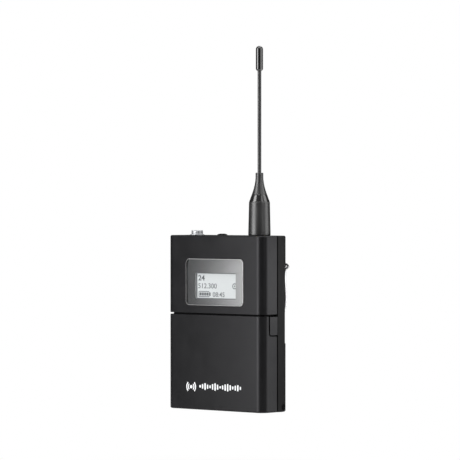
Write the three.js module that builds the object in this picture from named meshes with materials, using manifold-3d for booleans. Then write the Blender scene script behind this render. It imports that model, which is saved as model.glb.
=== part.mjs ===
// Wireless bodypack transmitter: a flat belt-worn case with a hinged battery cover, an electronic-paper
// display, a threaded jack, a mute slider and a screw-on whip antenna.
// Millimetres. X to the wearer's right as the front is faced, +Y to the back, +Z up.
// The origin is the centre of the case's flat underside.
import * as THREE from "three";
import { mergeVertices } from "three/addons/utils/BufferGeometryUtils.js";
import Module from "manifold-3d";

const wasm = await Module();
wasm.setup();

// ---------------------------------------------------------------- driving dimensions
const CASE = { width: 63.5, height: 85, depth: 20, wall: 1.5, frontRadius: 4, rearRadius: 5.7, edge: 0.5 };
const HALF_W = CASE.width / 2;
const HALF_D = CASE.depth / 2;
const INNER_W = HALF_W - CASE.wall;
const INNER_D = HALF_D - CASE.wall;
// Shadow gaps between the shells: the upright one on the sides, the level one across the front.
const SEAM = { front: 0.4, rear: 1.0 };
const GROOVE = { low: 46.3, high: 47.15 };
const REVEAL = 1.65;
const HINGE = { y: 5.2, z: 2.4, pinRadius: 1, headRadius: 1.4, play: 0.08, knuckleRadius: 2 };
const ARM = { inner: 26.2, outer: 28.4 };
const TONGUE = { halfWidth: 22, front: -3 };
const LATCH = { front: -5, rear: 0.85, low: 37.1, high: 46.1, gap: 0.5, corner: 1 };
const WINDOW = { width: 38.2, height: 22.7, radius: 2.4, z: 62.25, proud: 0.15 };
const VIEW = { width: 27, height: 12.5, z: 60.45 };
const AERIAL = { x: 20.6, socketRadius: 3.1 };
const JACK = { x: -20.8, threadRadius: 3, bore: 1.8, top: 87.4 };
const MUTE = { x: -3.9, length: 4.4, width: 2.4, rise: 0.8, travel: 2.4 };
const LAMP = { x: 7.5, radius: 1 };
const CLIP = { y: 11.9, z: 70.3, wire: 0.9, lugInner: 24.5, lugOuter: 26.6, lugRadius: 1.7 };
const CELL = { radius: 7.15, length: 50.5, lowZ: 10.2, pitch: 15.1 };
const BAY_END = 27.4;
const SCREW = { x: 26.6, zs: [51.5, 76], head: 1.9, shank: 0.95, seat: 7.5 };
const CONTROL = { y: -6.2, low: 33.75, high: 45.1, halfWidth: 24.9, rise: 0.8, z: 39.4 };
const ROUND = 20; // sides of a small round piece

// ---------------------------------------------------------------- finishes
const finish = (color, roughness, metalness = 0, extra = {}) =>
  new THREE.MeshStandardMaterial({ color, roughness, metalness, ...extra });
const blackCase = finish(0x2a2a2c, 0.55);
const blackFrame = finish(0x151516, 0.7);
const blackRubber = finish(0x1c1c1d, 0.75);
const glossBlack = finish(0x0b0b0c, 0.15);
const greyMask = finish(0x8a8b8c, 0.35, 0.3);
const clearLens = finish(0xf2f5f6, 0.05, 0, { transparent: true, opacity: 0.25 });
const paperWhite = finish(0xdfe4e7, 0.8);
const amberFilm = finish(0xb0742a, 0.5);
const boardGreen = finish(0x14472e, 0.5);
const tinned = finish(0xc9ccd0, 0.3, 1);
const steel = finish(0xb9bcc0, 0.25, 1);
const chrome = finish(0xe6e8ea, 0.08, 1);
const gold = finish(0xd9b45a, 0.25, 1);
const brass = finish(0xc2a052, 0.3, 1);
const whitePlastic = finish(0xe9e6df, 0.5);
const greyButton = finish(0x4b4d50, 0.6);
const cellWrap = finish(0x2f6f4f, 0.35, 0.2);

// ---------------------------------------------------------------- solids
// A three.js geometry as a manifold-3d solid.
function solid(geometry) {
  const bare = new THREE.BufferGeometry().setAttribute("position", geometry.getAttribute("position"));
  if (geometry.index) bare.setIndex(geometry.index);
  const merged = mergeVertices(bare, 1e-4);
  return new wasm.Manifold(
    new wasm.Mesh({
      numProp: 3,
      vertProperties: merged.attributes.position.array,
      triVerts: new Uint32Array(merged.index.array),
    }),
  );
}

const addAll = (first, ...rest) => rest.reduce((made, next) => made.add(next), first);
const cutAll = (first, ...rest) => rest.reduce((made, next) => made.subtract(next), first);

function box(x0, x1, y0, y1, z0, z1) {
  const geometry = new THREE.BoxGeometry(x1 - x0, y1 - y0, z1 - z0);
  return solid(geometry.translate((x0 + x1) / 2, (y0 + y1) / 2, (z0 + z1) / 2));
}

const mirrored = (made) => made.mirror([1, 0, 0]);
const bothSides = (made) => made.add(mirrored(made));
const boxPair = (...limits) => bothSides(box(...limits));

function cylinderZ(x, y, z0, z1, radius, sides = ROUND) {
  const geometry = new THREE.CylinderGeometry(radius, radius, z1 - z0, sides).rotateX(Math.PI / 2);
  return solid(geometry.translate(x, y, (z0 + z1) / 2));
}

function cylinderY(x, z, y0, y1, radius, sides = ROUND) {
  const geometry = new THREE.CylinderGeometry(radius, radius, y1 - y0, sides);
  return solid(geometry.translate(x, (y0 + y1) / 2, z));
}

function cylinderX(y, z, x0, x1, radius, sides = ROUND) {
  const geometry = new THREE.CylinderGeometry(radius, radius, x1 - x0, sides).rotateZ(Math.PI / 2);
  return solid(geometry.translate((x0 + x1) / 2, y, z));
}

// A closed profile of [radius, z] points turned about an upright axis at x.
function turned(x, profile, sides = ROUND) {
  const points = [...profile, profile[0]].map(([radius, z]) => new THREE.Vector2(radius, z));
  return solid(new THREE.LatheGeometry(points, sides).rotateX(Math.PI / 2).translate(x, 0, 0));
}

// A rounded rectangle centred on (x, y), as a shape in its own plane.
function roundedRect(x, y, width, height, radius) {
  const [hw, hh] = [width / 2 - radius, height / 2 - radius];
  const shape = new THREE.Shape();
  shape.absarc(x + hw, y - hh, radius, -Math.PI / 2, 0);
  shape.absarc(x + hw, y + hh, radius, 0, Math.PI / 2);
  shape.absarc(x - hw, y + hh, radius, Math.PI / 2, Math.PI);
  shape.absarc(x - hw, y - hh, radius, Math.PI, 1.5 * Math.PI);
  shape.closePath();
  return shape;
}

function extrude(shape, depth, curveSegments = 5) {
  return new THREE.ExtrudeGeometry(shape, { depth, bevelEnabled: false, curveSegments });
}

// A shape drawn in X and Z, from y0 back to y1.
const plate = (shape, y0, y1, segments) =>
  solid(extrude(shape, y1 - y0, segments).rotateX(Math.PI / 2).translate(0, y1, 0));

// A shape drawn in X and Y, from z0 up to z1.
const prism = (shape, z0, z1, segments = 6) => solid(extrude(shape, z1 - z0, segments).translate(0, 0, z0));

// A shape drawn in Y and Z, from x0 out to x1.
function slab(shape, x0, x1, segments = 4) {
  const stand = new THREE.Matrix4().set(0, 0, 1, x0, 1, 0, 0, 0, 0, 1, 0, 0, 0, 0, 0, 1);
  return solid(extrude(shape, x1 - x0, segments).applyMatrix4(stand));
}

const polygon = (...points) => new THREE.Shape(points.map(([a, b]) => new THREE.Vector2(a, b)));

// The case's plan outline, drawn in by inset all round.
function planOutline(inset) {
  const w = HALF_W - inset;
  const d = HALF_D - inset;
  const front = CASE.frontRadius - inset;
  const rear = CASE.rearRadius - inset;
  const shape = new THREE.Shape();
  shape.absarc(w - front, -d + front, front, -Math.PI / 2, 0);
  shape.absarc(w - rear, d - rear, rear, 0, Math.PI / 2);
  shape.absarc(-w + rear, d - rear, rear, Math.PI / 2, Math.PI);
  shape.absarc(-w + front, -d + front, front, Math.PI, 1.5 * Math.PI);
  shape.closePath();
  return shape;
}

// The whole case as one block, its top and bottom edges eased.
function caseBlock() {
  const options = {
    depth: CASE.height - 2 * CASE.edge,
    curveSegments: 10,
    bevelThickness: CASE.edge,
    bevelSize: CASE.edge,
    bevelOffset: -CASE.edge,
    bevelSegments: 1,
  };
  return solid(new THREE.ExtrudeGeometry(planOutline(0), options).translate(0, 0, CASE.edge));
}

const hollow = (z0, z1) => prism(planOutline(CASE.wall), z0, z1);

// A round wire along a curve.
function wire(curve, radius, steps, sides) {
  const section = new THREE.Shape().absarc(0, 0, radius, 0, 2 * Math.PI);
  const options = { steps, extrudePath: curve, bevelEnabled: false, curveSegments: sides };
  return solid(new THREE.ExtrudeGeometry(section, options));
}

// A coil along X whose radius goes from r0 to r1.
class Coil extends THREE.Curve {
  constructor(x0, x1, y, z, r0, r1, turns) {
    super();
    Object.assign(this, { x0, x1, y, z, r0, r1, turns });
  }
  getPoint(t, target = new THREE.Vector3()) {
    const angle = 2 * Math.PI * this.turns * t;
    const radius = this.r0 + (this.r1 - this.r0) * t;
    const x = this.x0 + (this.x1 - this.x0) * t;
    return target.set(x, this.y + radius * Math.cos(angle), this.z + radius * Math.sin(angle));
  }
}

// ---------------------------------------------------------------- the assembly
const transmitter = new THREE.Group();

function place(name, made, material) {
  const { numProp, numVert, vertProperties, triVerts } = made.getMesh();
  const position = new Float32Array(numVert * 3);
  for (let i = 0; i < numVert; i++) {
    position.set(vertProperties.subarray(i * numProp, i * numProp + 3), i * 3);
  }
  const geometry = new THREE.BufferGeometry()
    .setAttribute("position", new THREE.BufferAttribute(position, 3))
    .setIndex(new THREE.BufferAttribute(triVerts, 1));
  geometry.computeVertexNormals();
  const mesh = new THREE.Mesh(geometry, material);
  mesh.name = name;
  transmitter.add(mesh);
}

// Everything that passes up through the roof: antenna socket, jack, mute slider and lamp.
function roofOpenings() {
  const [z0, z1] = [80, CASE.height + 1];
  const slot = { from: MUTE.x - MUTE.length / 2 - 0.3, to: MUTE.x + MUTE.length / 2 + MUTE.travel + 0.3 };
  return addAll(
    cylinderZ(AERIAL.x, 0, z0, z1, AERIAL.socketRadius + 0.15),
    cylinderZ(JACK.x, 0, z0, z1, JACK.threadRadius + 0.15),
    cylinderZ(LAMP.x, 0, z0, z1, LAMP.radius + 0.1, 16),
    box(slot.from, slot.to, -MUTE.width / 2 - 0.25, MUTE.width / 2 + 0.25, z0, z1),
  );
}

function screwPositions() {
  return [-1, 1].flatMap((side) => SCREW.zs.map((z) => [side * SCREW.x, z]));
}

// ---- shells
const BOSS_MEET = 3; // where the front and rear screw bosses meet, along Y

function frontHousing() {
  const shell = caseBlock()
    .subtract(hollow(GROOVE.high - 1, CASE.height - CASE.wall))
    .intersect(box(-40, 40, -20, SEAM.front, GROOVE.high, 100));
  const bosses = screwPositions().map(([x, z]) => cylinderY(x, z, -INNER_D - 0.2, BOSS_MEET - 0.1, 2.2, 16));
  const bores = screwPositions().map(([x, z]) => cylinderY(x, z, -4, BOSS_MEET + 1, SCREW.shank + 0.1, 12));
  const recess = roundedRect(0, WINDOW.z, WINDOW.width + 0.4, WINDOW.height + 0.4, WINDOW.radius + 0.2);
  const through = roundedRect(0, VIEW.z, VIEW.width + 6, VIEW.height + 5.6, 0.8);
  return cutAll(
    addAll(shell, ...bosses),
    plate(recess, -HALF_D - 1, -HALF_D + 1.05, 6),
    plate(through, -HALF_D, -INNER_D + 1, 3),
    roofOpenings(),
    ...bores,
  );
}

function rearHousing() {
  const shell = caseBlock()
    .subtract(hollow(CASE.wall, CASE.height - CASE.wall))
    .intersect(box(-40, 40, SEAM.rear, 20, -1, 100));
  const tongue = box(-TONGUE.halfWidth, TONGUE.halfWidth, TONGUE.front, SEAM.rear + 0.5, 0, CASE.wall);
  // Each cheek carries the inner end of a hinge pin.
  const cheeks = bothSides(
    cylinderX(HINGE.y, HINGE.z, ARM.inner - 2, ARM.inner - 0.5, HINGE.knuckleRadius)
      .add(box(ARM.inner - 2, ARM.inner - 0.5, 3.2, 7.2, CASE.wall - 0.2, HINGE.z)),
  );
  const bosses = screwPositions().map(([x, z]) => cylinderY(x, z, BOSS_MEET + 0.1, INNER_D + 0.2, 2.6, 16));
  const armSlots = boxPair(ARM.inner - 0.3, ARM.outer + 0.3, 0, 8.3, -1, CASE.wall + 0.5);
  const pinHoles = bothSides(
    cylinderX(HINGE.y, HINGE.z, 20, 40, HINGE.pinRadius + HINGE.play)
      .add(cylinderX(HINGE.y, HINGE.z, INNER_W + 0.1, 40, HINGE.headRadius + HINGE.play)),
  );
  const label = plate(roundedRect(0, 51, 34, 30, 2), HALF_D - 0.4, HALF_D + 1, 4);
  // The foot of the side seam is eased so that the cover's corner swings past it.
  const ease = bothSides(slab(polygon([0.8, -0.2], [1.5, -0.2], [0.8, 0.5]), TONGUE.halfWidth, 40));
  // The back corners are drawn in a little where the clip's legs lie.
  const relief = prism(planOutline(-1), 33, 71.5)
    .subtract(prism(planOutline(0.3), 32, 72.5, 10))
    .intersect(boxPair(21, 40, 5.5, 20, 33, 71.5));
  const pads = [-8, 8].map((x) => cylinderZ(x, 6, -1, CASE.wall + 1, 1.55));
  const screwHoles = screwPositions().flatMap(([x, z]) => [
    cylinderY(x, z, 0, 20, SCREW.shank + 0.15, 12),
    cylinderY(x, z, SCREW.seat, 20, SCREW.head + 0.2, 16),
  ]);
  return cutAll(
    cutAll(addAll(shell, tongue, cheeks, ...bosses), label, relief).add(clipLugs()),
    armSlots,
    pinHoles,
    ease,
    roofOpenings(),
    ...pads,
    ...screwHoles,
    cylinderX(CLIP.y, CLIP.z, -40, 40, CLIP.wire + 0.25, 16),
  );
}

// Two ears on the back that hold the ends of the belt clip.
function clipLugs() {
  const ear = new THREE.Shape();
  ear.moveTo(HALF_D - 1, CLIP.z - 2.6);
  ear.lineTo(HALF_D, CLIP.z - 2.6);
  ear.absarc(CLIP.y, CLIP.z, CLIP.lugRadius, -Math.PI / 3, Math.PI / 2);
  ear.lineTo(HALF_D, CLIP.z + 2.6);
  ear.lineTo(HALF_D - 1, CLIP.z + 2.6);
  return bothSides(slab(ear, CLIP.lugInner, CLIP.lugOuter, 6));
}

// The cover over the cells: front, sides and underside in one shell, with two hinge arms.
function batteryCover() {
  const shell = caseBlock()
    .subtract(hollow(CASE.wall, GROOVE.low + 1))
    .intersect(box(-40, 40, -20, SEAM.front, -1, GROOVE.low));
  const tongueRoom = box(
    -TONGUE.halfWidth - 0.6, TONGUE.halfWidth + 0.6, TONGUE.front - 0.6, SEAM.front + 1, -1, CASE.wall + 1,
  );
  const latchRoom = bothSides(slab(latchOutline(LATCH.gap), 29, 40));
  const arms = bothSides(
    cylinderX(HINGE.y, HINGE.z, ARM.inner, ARM.outer, HINGE.knuckleRadius)
      .add(box(ARM.inner, ARM.outer, -4.5, HINGE.y, HINGE.z - HINGE.knuckleRadius, HINGE.z + 1.8)),
  );
  // Each latch hook passes in front of one of these lugs.
  const lugs = boxPair(28.9, INNER_W + 0.3, -7, -6, 40, 44);
  return addAll(cutAll(shell, tongueRoom, latchRoom), arms, lugs)
    .subtract(cylinderX(HINGE.y, HINGE.z, -40, 40, HINGE.pinRadius + HINGE.play));
}

// A latch button's face in Y and Z: square but for its lower front corner. The cover's cut is wider by grow.
function latchOutline(grow) {
  const [front, low, radius] = [LATCH.front - grow, LATCH.low - grow, LATCH.corner + grow];
  const [rear, high] = grow ? [SEAM.rear + 1, 60] : [LATCH.rear, LATCH.high];
  const shape = new THREE.Shape();
  shape.moveTo(rear, low);
  shape.lineTo(rear, high);
  shape.lineTo(front, high);
  shape.absarc(front + radius, low + radius, radius, Math.PI, 1.5 * Math.PI);
  shape.closePath();
  return shape;
}

// The moulded chassis: the bulkhead behind the groove, the battery tray and the bands behind the seams.
function midFrame() {
  const inner = HALF_W - REVEAL;
  const bulkhead = box(-inner, inner, -HALF_D, HALF_D, 45.2, 48.4)
    .subtract(boxPair(28.6, 40, LATCH.front - 0.7, SEAM.rear + 0.3, 44, LATCH.high + 0.3));
  const parts = [
    boxPair(inner - 0.9, inner, -1.5, 3, 48, 83.3),
    box(-inner, inner, -4.6, 4.6, 82.45, 83.3),
    box(-BAY_END - 1.2, BAY_END + 1.2, 7.4, 8.4, 5, 45.4),
    box(-23.8, 23.8, 7.4, 8.4, 1.7, 5.5),
    box(-23.8, 23.8, -6, 8.4, 1.7, 2.5),
    boxPair(BAY_END + 0.1, BAY_END + 1.2, -6.5, 8.4, 5, 33.6),
    boxPair(BAY_END + 1, inner, 0.2, 2.2, 5.2, 36.6),
    boxPair(25, 26, -6, 8.4, 32.8, 45.4),
    box(-28.6, 28.6, -6, 8.4, 32.8, 33.6),
    boxPair(25.5, inner, -4.4, 2.2, 36, 36.7),
  ];
  return addAll(bulkhead, ...parts)
    .intersect(prism(planOutline(REVEAL), 0, CASE.height))
    .subtract(roofOpenings());
}

// ---- hinge, latches, fasteners
const onSide = (side, made) => (side > 0 ? made : mirrored(made));

const hingePin = () =>
  cylinderX(HINGE.y, HINGE.z, ARM.inner - 1.9, HALF_W - 0.1, HINGE.pinRadius)
    .add(cylinderX(HINGE.y, HINGE.z, INNER_W + 0.2, HALF_W - 0.1, HINGE.headRadius));

const latchButton = () =>
  addAll(
    slab(latchOutline(0), 30.2, HALF_W),
    box(28, 30.3, -4.4, 0.6, 37.7, 44.8),
    box(28, 29.4, -4.8, -3.4, 40.4, 43.6),
    box(27.4, 28.6, -8.1, -3.6, 40.4, 43.6),
    box(27.6, 28.75, -8.1, -7.2, 40.4, 43.6),
  );

const latchSpring = () => wire(new Coil(26.25, 27.75, -1.9, 41.3, 1.2, 1.2, 2.5), 0.18, 24, 2);

function caseScrew(x, z) {
  const { head, shank, seat } = SCREW;
  return cylinderY(x, z, seat + 0.05, seat + 1.45, head, 16)
    .add(cylinderY(x, z, -2.5, seat + 0.1, shank, 12))
    .subtract(cylinderY(x, z, seat + 0.7, 11, 0.85, 6));
}

// ---- display
const windowShape = (inset) =>
  roundedRect(0, WINDOW.z, WINDOW.width - 2 * inset, WINDOW.height - 2 * inset, WINDOW.radius - inset);
const viewShape = (grow) => roundedRect(0, VIEW.z, VIEW.width + grow, VIEW.height + grow, 0.3);

const displayWindow = () => plate(windowShape(0), -HALF_D - WINDOW.proud, -9.25, 6);
const displayMask = () => plate(windowShape(0.1), -9.22, -8.98, 6).subtract(plate(viewShape(0), -10, -8, 2));
const displayFoam = () =>
  plate(roundedRect(0, VIEW.z, 33.6, 19.2, 0.8), -8.47, -8.03, 2).subtract(plate(viewShape(1.2), -9, -7, 2));
const displayPanel = () => box(-16, 16, -8, -7, VIEW.z - 9, VIEW.z + 9);

// The ribbon that runs from the panel's lower edge back to the main board.
function displayFlex() {
  const path = new THREE.CatmullRomCurve3(
    [[-6.7, 56], [-6.65, 52.4], [-5.4, 50.5], [-2, 49.9], [1.4, 50.3], [3.1, 52], [3.35, 55.5]].map(
      ([y, z]) => new THREE.Vector3(-4, y, z),
    ),
  );
  const options = { steps: 20, extrudePath: path, bevelEnabled: false };
  return solid(new THREE.ExtrudeGeometry(polygon([-5, -0.1], [5, -0.1], [5, 0.1], [-5, 0.1]), options));
}

// ---- electronics
const BOARD = { y: 3.6, thick: 1.2, halfWidth: 23, low: 49.2, high: 80.2 };

const mainBoard = () =>
  box(-BOARD.halfWidth, BOARD.halfWidth, BOARD.y, BOARD.y + BOARD.thick, BOARD.low, BOARD.high);
const rfShield = () => box(-2, 20, BOARD.y + BOARD.thick, 7.3, 57, 78);
const processorChip = () => box(-18, -9, BOARD.y + BOARD.thick, 5.9, 60, 69);
const topBoard = () => box(-11, 12, -3, BOARD.y - 0.1, 78.4, 79.3);
const muteSwitchBase = () => box(-8, 2.6, -2.4, 2.4, 79.3, 81.1);
const statusLed = () => box(LAMP.x - 0.8, LAMP.x + 0.8, -0.6, 0.6, 79.3, 80.2);
const statusLightPipe = () =>
  cylinderZ(LAMP.x, 0, 80.4, CASE.height, LAMP.radius, 16).add(cylinderZ(LAMP.x, 0, 80.4, 81.6, 1.6, 16));

function muteSlider() {
  const half = MUTE.length / 2;
  const top = new THREE.Shape();
  top.moveTo(MUTE.x - half, 84.2);
  top.lineTo(MUTE.x + half, 84.2);
  top.lineTo(MUTE.x + half, CASE.height + 0.15);
  top.lineTo(MUTE.x + half - 0.7, CASE.height + MUTE.rise);
  top.lineTo(MUTE.x - half + 0.7, CASE.height + MUTE.rise);
  top.lineTo(MUTE.x - half, CASE.height + 0.15);
  top.closePath();
  return addAll(
    plate(top, -MUTE.width / 2, MUTE.width / 2),
    box(MUTE.x - half, MUTE.x + half, -MUTE.width / 2, MUTE.width / 2, 81.3, 84.3),
    box(MUTE.x - half - 1.6, MUTE.x + half + 1.6, -2.2, 2.2, 81.3, 82.2),
  );
}

// ---- audio jack
function jackSleeve() {
  return turned(JACK.x, [
    [JACK.bore, 79.6],
    [JACK.threadRadius, 79.6],
    [JACK.threadRadius, CASE.height + 0.05],
    [JACK.threadRadius + 0.5, CASE.height + 0.05],
    [JACK.threadRadius + 0.5, CASE.height + 0.4],
    [JACK.threadRadius - 0.2, CASE.height + 0.5],
    [JACK.threadRadius - 0.2, JACK.top - 0.3],
    [JACK.threadRadius - 0.5, JACK.top],
    [JACK.bore + 0.2, JACK.top],
    [JACK.bore, JACK.top - 0.2],
  ]);
}

const jackNut = () =>
  cylinderZ(JACK.x, 0, 80.9, 82.3, 4.2, 6).subtract(cylinderZ(JACK.x, 0, 80, 83, JACK.threadRadius + 0.05));
const jackBody = () =>
  box(JACK.x - 3.2, JACK.x + 3.3, -3.2, 3, 66, 79.5).subtract(
    cylinderZ(JACK.x, 0, 67, 80, JACK.bore),
  );

// ---- antenna
const antennaSocket = () =>
  turned(AERIAL.x, [
    [1.9, 80.8],
    [4.4, 80.8],
    [4.4, 82.2],
    [AERIAL.socketRadius, 82.2],
    [AERIAL.socketRadius, 90.2],
    [AERIAL.socketRadius - 0.3, 90.5],
    [1.9, 90.5],
  ]);
const antennaInsulator = () =>
  turned(AERIAL.x, [[0, 80.8], [1.85, 80.8], [1.85, 90.1], [0.5, 90.1], [0.5, 84], [0, 84]], 16);
const antennaORing = () =>
  turned(AERIAL.x, [[3.25, 85.05], [4.15, 85.05], [4.15, 85.4], [3.25, 85.4]]);
const antennaFerrule = () =>
  turned(AERIAL.x, [
    [0, 86.5], [0.4, 86.5], [0.4, 91.2], [3.25, 91.2], [3.25, 85.45], [4.25, 85.45], [4.25, 92.2], [0, 92.2],
  ]);
const antennaCollar = () =>
  turned(AERIAL.x, [
    [4.3, 85.15], [5.25, 85.15], [5.42, 85.5], [5.05, 101], [4.85, 101.4], [0, 101.4], [0, 92.3], [4.3, 92.3],
  ], 24);
const antennaRing = () =>
  turned(AERIAL.x, [[1.1, 101.45], [4.95, 101.45], [4.8, 101.8], [3.75, 104.85], [1.1, 104.85]], 24);

function antennaBoot() {
  // The taper is hollow-sided: steep at the ring, nearly upright at the top.
  const flare = Array.from({ length: 7 }, (_, i) => {
    const t = i / 6;
    return [1.76 + 1.95 * (1 - t) ** 2.1, 104.9 + 8.6 * t];
  });
  return turned(AERIAL.x, [[0.95, 104.9], ...flare, [1.76, 115.2], [1.6, 115.4], [0.95, 115.4]]);
}

const antennaWhip = () => cylinderZ(AERIAL.x, 0, 101.5, 166, 0.9, 16);

function antennaTip() {
  const [radius, low, high] = [1.75, 164.7, 176.7];
  const dome = Array.from({ length: 6 }, (_, i) => {
    const a = (i * Math.PI) / 10;
    return [radius * Math.cos(a), high - radius + radius * Math.sin(a)];
  });
  dome[dome.length - 1][0] = 0;
  return turned(AERIAL.x, [
    [0, 166.1], [0.95, 166.1], [0.95, low], [1.25, low], [radius, low + 0.7], ...dome,
  ]);
}

// ---- controls under the cover
const BUTTONS = {
  power: { x: -17, width: 6, height: 6, radius: 2.95 },
  down: { x: -5.2, width: 7.2, height: 5, radius: 1.2 },
  up: { x: 4.2, width: 7.2, height: 5, radius: 1.2 },
  set: { x: 16.2, width: 8.4, height: 5, radius: 2.4 },
};
const buttonShape = ({ x, width, height, radius }, grow) =>
  roundedRect(x, CONTROL.z, width + grow, height + grow, radius + grow / 2);

function controlPanel() {
  const blank = box(
    -CONTROL.halfWidth, CONTROL.halfWidth, CONTROL.y, CONTROL.y + 1, CONTROL.low, CONTROL.high,
  );
  const holes = Object.values(BUTTONS).map((b) => plate(buttonShape(b, 0.4), -8, -4, 3));
  return cutAll(blank, ...holes);
}

const controlBoard = () =>
  box(-CONTROL.halfWidth, CONTROL.halfWidth, -2.2, -1.2, CONTROL.low + 0.2, CONTROL.high - 0.2);

const keySwitch = ({ x }) =>
  box(x - 2.1, x + 2.1, -3.8, -2.25, CONTROL.z - 2.1, CONTROL.z + 2.1).subtract(
    cylinderY(x, CONTROL.z, -4, -2.8, 1, 12),
  );

const keyButton = (b) =>
  addAll(
    plate(buttonShape(b, 0), CONTROL.y - CONTROL.rise, -4.8, 3),
    plate(buttonShape(b, 1.2), -5.05, -4.55, 2),
    cylinderY(b.x, CONTROL.z, -4.6, -3.6, 0.8, 12),
  );

// ---- power
// A cell lies across the case; side is the end that its raised positive contact points to.
function cell(side, z) {
  const { radius, length } = CELL;
  const profile = [
    [0, 0], [radius - 0.8, 0], [radius, 0.6], [radius, length - 2], [radius - 0.8, length - 1.4],
    [2.7, length - 1.4], [2.7, length - 0.1], [2.5, length], [0, length],
  ];
  const points = [...profile, profile[0]].map(([r, x]) => new THREE.Vector2(r, x));
  const start = side * (BAY_END - 0.45 - length);
  const geometry = new THREE.LatheGeometry(points, 20).rotateZ(-Math.PI / 2);
  if (side < 0) geometry.rotateY(Math.PI);
  return solid(geometry.translate(start, 0, z));
}

// A conical coil that presses on a cell's flat end.
const cellSpring = (z) => wire(new Coil(BAY_END - 0.8, BAY_END - 3.35, 0, z, 3.9, 2.3, 2.5), 0.33, 34, 2);

const highZ = CELL.lowZ + CELL.pitch;
const contactPlate = (z0, z1) => box(BAY_END - 0.4, BAY_END, -5, 5, z0, z1);

const coverFoam = () => box(-20, 20, -8.45, -7.5, 5, 31);
const chargePad = (x) => cylinderZ(x, 6, 0.12, 1.6, 1.45);

// ---- belt clip: one sprung wire, hooked into the lugs at both ends
function beltClip() {
  const right = [
    [24.4, CLIP.y, CLIP.z], [26.1, CLIP.y, CLIP.z], [27.5, CLIP.y, CLIP.z], [28.7, CLIP.y, CLIP.z - 0.7],
    [28.1, CLIP.y, CLIP.z - 1.9],
    [26.5, 12, 67], [26.1, 12.1, 63], [26.4, 12.5, 55], [26.2, 12.5, 51], [25, 12, 46.5], [21.5, 11.8, 38],
    [16.8, 11.5, 28.5], [12.6, 11.6, 22.5], [7, 12.8, 18.6], [0, 13.5, 17.4],
  ];
  const left = right.slice(0, -1).reverse().map(([x, y, z]) => [-x, y, z]);
  const points = [...right, ...left].map((p) => new THREE.Vector3(...p));
  return wire(new THREE.CatmullRomCurve3(points, false, "centripetal"), CLIP.wire, 72, 4);
}

// ---------------------------------------------------------------- put together
place("rear_housing", rearHousing(), blackCase);
place("front_housing", frontHousing(), blackCase);
place("mid_frame", midFrame(), blackFrame);
place("battery_cover", batteryCover(), blackCase);
place("cover_foam", coverFoam(), blackRubber);

for (const [label, side] of [["left", -1], ["right", 1]]) {
  place("hinge_pin_" + label, onSide(side, hingePin()), steel);
  place("latch_button_" + label, onSide(side, latchButton()), blackCase);
  place("latch_spring_" + label, onSide(side, latchSpring()), steel);
}
for (const [i, [x, z]] of screwPositions().entries()) {
  place("case_screw_" + (i + 1), caseScrew(x, z), steel);
}

place("display_window", displayWindow(), clearLens);
place("display_mask", displayMask(), greyMask);
place("display_foam", displayFoam(), blackRubber);
place("display_panel", displayPanel(), paperWhite);
place("display_flex", displayFlex(), amberFilm);

place("main_board", mainBoard(), boardGreen);
place("rf_shield", rfShield(), tinned);
place("processor_chip", processorChip(), glossBlack);
place("top_board", topBoard(), boardGreen);
place("mute_switch_base", muteSwitchBase(), blackFrame);
place("mute_slider", muteSlider(), blackCase);
place("status_led", statusLed(), whitePlastic);
place("status_light_pipe", statusLightPipe(), clearLens);

place("jack_sleeve", jackSleeve(), chrome);
place("jack_nut", jackNut(), steel);
place("jack_body", jackBody(), blackFrame);

place("antenna_socket", antennaSocket(), brass);
place("antenna_insulator", antennaInsulator(), whitePlastic);
place("antenna_o_ring", antennaORing(), blackRubber);
place("antenna_ferrule", antennaFerrule(), brass);
place("antenna_collar", antennaCollar(), blackRubber);
place("antenna_ring", antennaRing(), glossBlack);
place("antenna_boot", antennaBoot(), blackRubber);
place("antenna_whip", antennaWhip(), blackRubber);
place("antenna_tip", antennaTip(), glossBlack);

place("control_panel", controlPanel(), blackFrame);
place("control_board", controlBoard(), boardGreen);
for (const [label, button] of Object.entries(BUTTONS)) {
  place(label + "_button", keyButton(button), greyButton);
  place(label + "_switch", keySwitch(button), steel);
}

place("battery_cell_lower", cell(1, CELL.lowZ), cellWrap);
place("battery_cell_upper", cell(-1, highZ), cellWrap);
place("contact_bridge", onSide(-1, contactPlate(CELL.lowZ - 4.5, highZ + 4.5)), tinned);
place("contact_positive", contactPlate(CELL.lowZ - 4.5, CELL.lowZ + 5), tinned);
place("contact_negative", contactPlate(highZ - 5, highZ + 4.5), tinned);
place("contact_spring_lower", onSide(-1, cellSpring(CELL.lowZ)), steel);
place("contact_spring_upper", cellSpring(highZ), steel);
place("charge_pad_left", chargePad(-8), gold);
place("charge_pad_right", chargePad(8), gold);

place("belt_clip", beltClip(), steel);

export default transmitter;
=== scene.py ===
"""Wireless bodypack transmitter: the looks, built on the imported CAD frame. Metres, +Z up.

Shapes are written in millimetres and made metres as each piece is finished.
"""

import math

import bmesh
import bpy
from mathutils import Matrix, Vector


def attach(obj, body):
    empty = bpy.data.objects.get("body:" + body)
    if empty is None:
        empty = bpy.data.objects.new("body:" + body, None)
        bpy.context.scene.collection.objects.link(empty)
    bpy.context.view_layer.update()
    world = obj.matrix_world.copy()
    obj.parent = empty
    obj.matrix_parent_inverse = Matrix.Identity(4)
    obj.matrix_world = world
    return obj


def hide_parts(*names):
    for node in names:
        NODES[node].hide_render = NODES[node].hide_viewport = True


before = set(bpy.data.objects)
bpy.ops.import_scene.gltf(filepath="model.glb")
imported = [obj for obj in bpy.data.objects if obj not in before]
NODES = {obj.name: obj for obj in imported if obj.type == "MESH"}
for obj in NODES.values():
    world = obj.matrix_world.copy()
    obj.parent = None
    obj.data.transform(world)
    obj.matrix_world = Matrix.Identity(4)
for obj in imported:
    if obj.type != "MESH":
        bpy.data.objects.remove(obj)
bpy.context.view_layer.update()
MM = 0.001
MICRON = 1e-6
WHITE = (1.0, 1.0, 1.0)


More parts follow.
